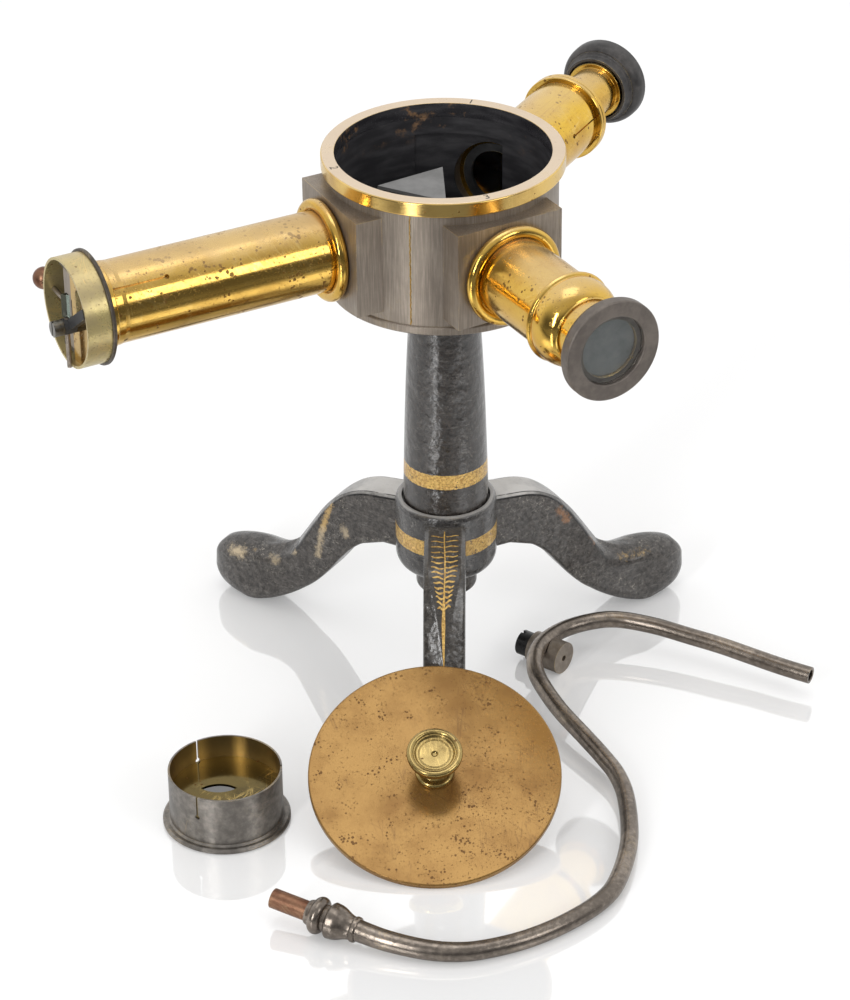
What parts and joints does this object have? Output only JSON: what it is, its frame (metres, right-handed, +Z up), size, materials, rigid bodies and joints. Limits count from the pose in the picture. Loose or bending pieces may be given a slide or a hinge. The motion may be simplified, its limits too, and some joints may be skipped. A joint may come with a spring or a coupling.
{
  "type": "table spectroscope",
  "caption": "Table spectroscope with a prism drum on an iron tripod, slit collimator, telescope and scale tube, with its lid, slit cap and gas pipe beside it",
  "frame": {"origin": "on the table under the middle of the whole group", "axes": "+Z up, +X to the right as seen from the front, +Y to the back; the telescope points up and back, the lid lies in front"},
  "size_m": [0.3491, 0.3976, 0.2651],
  "materials": {
    "cast_iron": "worn black paint over cast iron",
    "black_iron": "blackened steel",
    "bronzed_brass": "dark bronzed lacquer, worn to brass at the edges",
    "lacquered_brass": "polished and lacquered brass with tarnish",
    "olive_brass": "polished brass, slightly greenish",
    "lid_brass": "satin lacquered brass with spots",
    "amber_brass": "amber lacquered brass",
    "black_brass": "matt black paint on brass",
    "copper_pipe": "brown oxidised brass",
    "copper_nozzle": "copper-brown brass",
    "bright_steel": "bright steel",
    "black_steel": "glossy blackened steel",
    "glass": "clear crown glass",
    "prism_glass": "greenish flint glass",
    "grey_plate": "matt grey cement-faced plate"
  },
  "bodies": {
    "stand": {"tripod_foot": "cast_iron", "pillar": "cast_iron", "pillar_nut": "cast_iron", "drum_base": "bronzed_brass", "drum_bolt": "lacquered_brass", "drum_wall": "bronzed_brass", "top_ring": "lacquered_brass", "collimator_block": "bronzed_brass", "scale_block": "bronzed_brass", "telescope_block": "bronzed_brass", "collimator_collar": "lacquered_brass", "scale_collar": "lacquered_brass", "telescope_collar": "lacquered_brass", "collimator_tube": "lacquered_brass", "scale_tube": "lacquered_brass", "telescope_tube": "lacquered_brass", "collimator_cell": "black_brass", "collimator_lens": "glass", "scale_cell": "black_brass", "scale_lens": "glass", "objective_cell": "black_brass", "objective_lens": "glass", "prism_table": "black_brass", "prism": "prism_glass", "prism_plate": "grey_plate", "scale_bezel": "lacquered_brass", "telescope_flange": "lacquered_brass"},
    "slit_head": {"slit_draw_tube": "lacquered_brass", "slit_flange": "bronzed_brass", "slit_pot": "olive_brass", "slit_floor": "black_brass", "fixed_jaw": "amber_brass", "comparison_bracket": "black_brass"},
    "slit_jaw": {"moving_jaw": "amber_brass"},
    "slit_knob": {"slit_screw": "bronzed_brass", "slit_knob": "copper_nozzle"},
    "comparison": {"comparison_rod": "bronzed_brass", "comparison_prism": "glass"},
    "comparison_clamp": {"comparison_screw": "bright_steel"},
    "scale_slide_tube": {"scale_draw_tube": "lacquered_brass", "scale_ring": "bronzed_brass", "scale_glass": "glass", "scale_slide": "glass"},
    "eyepiece": {"eyepiece_tube": "lacquered_brass", "eyecup": "black_brass", "eye_lens": "glass", "field_lens": "glass"},
    "lid": {"lid_plate": "lid_brass", "lid_knob": "lid_brass"},
    "slit_cap": {"cap_shell": "bronzed_brass", "cap_plate": "amber_brass"},
    "gas_pipe": {"gas_pipe": "copper_pipe", "pipe_fitting": "copper_pipe", "hose_nozzle": "copper_nozzle", "clamp_barrel": "bronzed_brass"},
    "clamp_screw": {"clamp_screw": "black_steel"}
  },
  "joints": [
    {"name": "slit_focus", "type": "slide", "parent": "stand", "child": "slit_head", "axis": [-0.8878, -0.4602, 0], "range_m": [0, 0.018]},
    {"name": "slit_screw_turn", "type": "hinge", "parent": "slit_head", "child": "slit_knob", "pos_m": [-0.16954, -0.00894, 0.229], "axis": [-0.4602, 0.8878, 0], "range_deg": [0, 720]},
    {"name": "slit_width", "type": "slide", "parent": "slit_head", "child": "slit_jaw", "axis": [-0.4602, 0.8878, 0], "range_m": [0, 0.001]},
    {"name": "comparison_turn", "type": "hinge", "parent": "slit_head", "child": "comparison", "pos_m": [-0.15718, -0.04319, 0.229], "axis": [0, 0, 1], "range_deg": [-25, 60]},
    {"name": "comparison_clamp_turn", "type": "hinge", "parent": "slit_head", "child": "comparison_clamp", "pos_m": [-0.16038, -0.04485, 0.2238], "axis": [-0.8878, -0.4602, 0], "range_deg": [0, 180]},
    {"name": "scale_focus", "type": "slide", "parent": "stand", "child": "scale_slide_tube", "axis": [0.5, -0.866, 0], "range_m": [0, 0.012]},
    {"name": "eyepiece_focus", "type": "slide", "parent": "stand", "child": "eyepiece", "axis": [0.4695, 0.8829, 0], "range_m": [-0.015, 0.02]},
    {"name": "lid_lift", "type": "slide", "parent": "stand", "child": "lid", "axis": [0, 0, 1], "range_m": [0, 0.1]},
    {"name": "cap_lift", "type": "slide", "parent": "stand", "child": "slit_cap", "axis": [0, 0, 1], "range_m": [0, 0.1]},
    {"name": "pipe_lift", "type": "slide", "parent": "stand", "child": "gas_pipe", "axis": [0, 0, 1], "range_m": [0, 0.1]},
    {"name": "clamp_screw_turn", "type": "hinge", "parent": "gas_pipe", "child": "clamp_screw", "pos_m": [0.04263, 0.03404, 0.00775], "axis": [0.7986, -0.6018, 0], "range_deg": [0, 360]}
  ],
  "couplings": [
    {"joint": "slit_screw_turn", "follows": "slit_width", "rad_per_m": 12566}
  ]
}
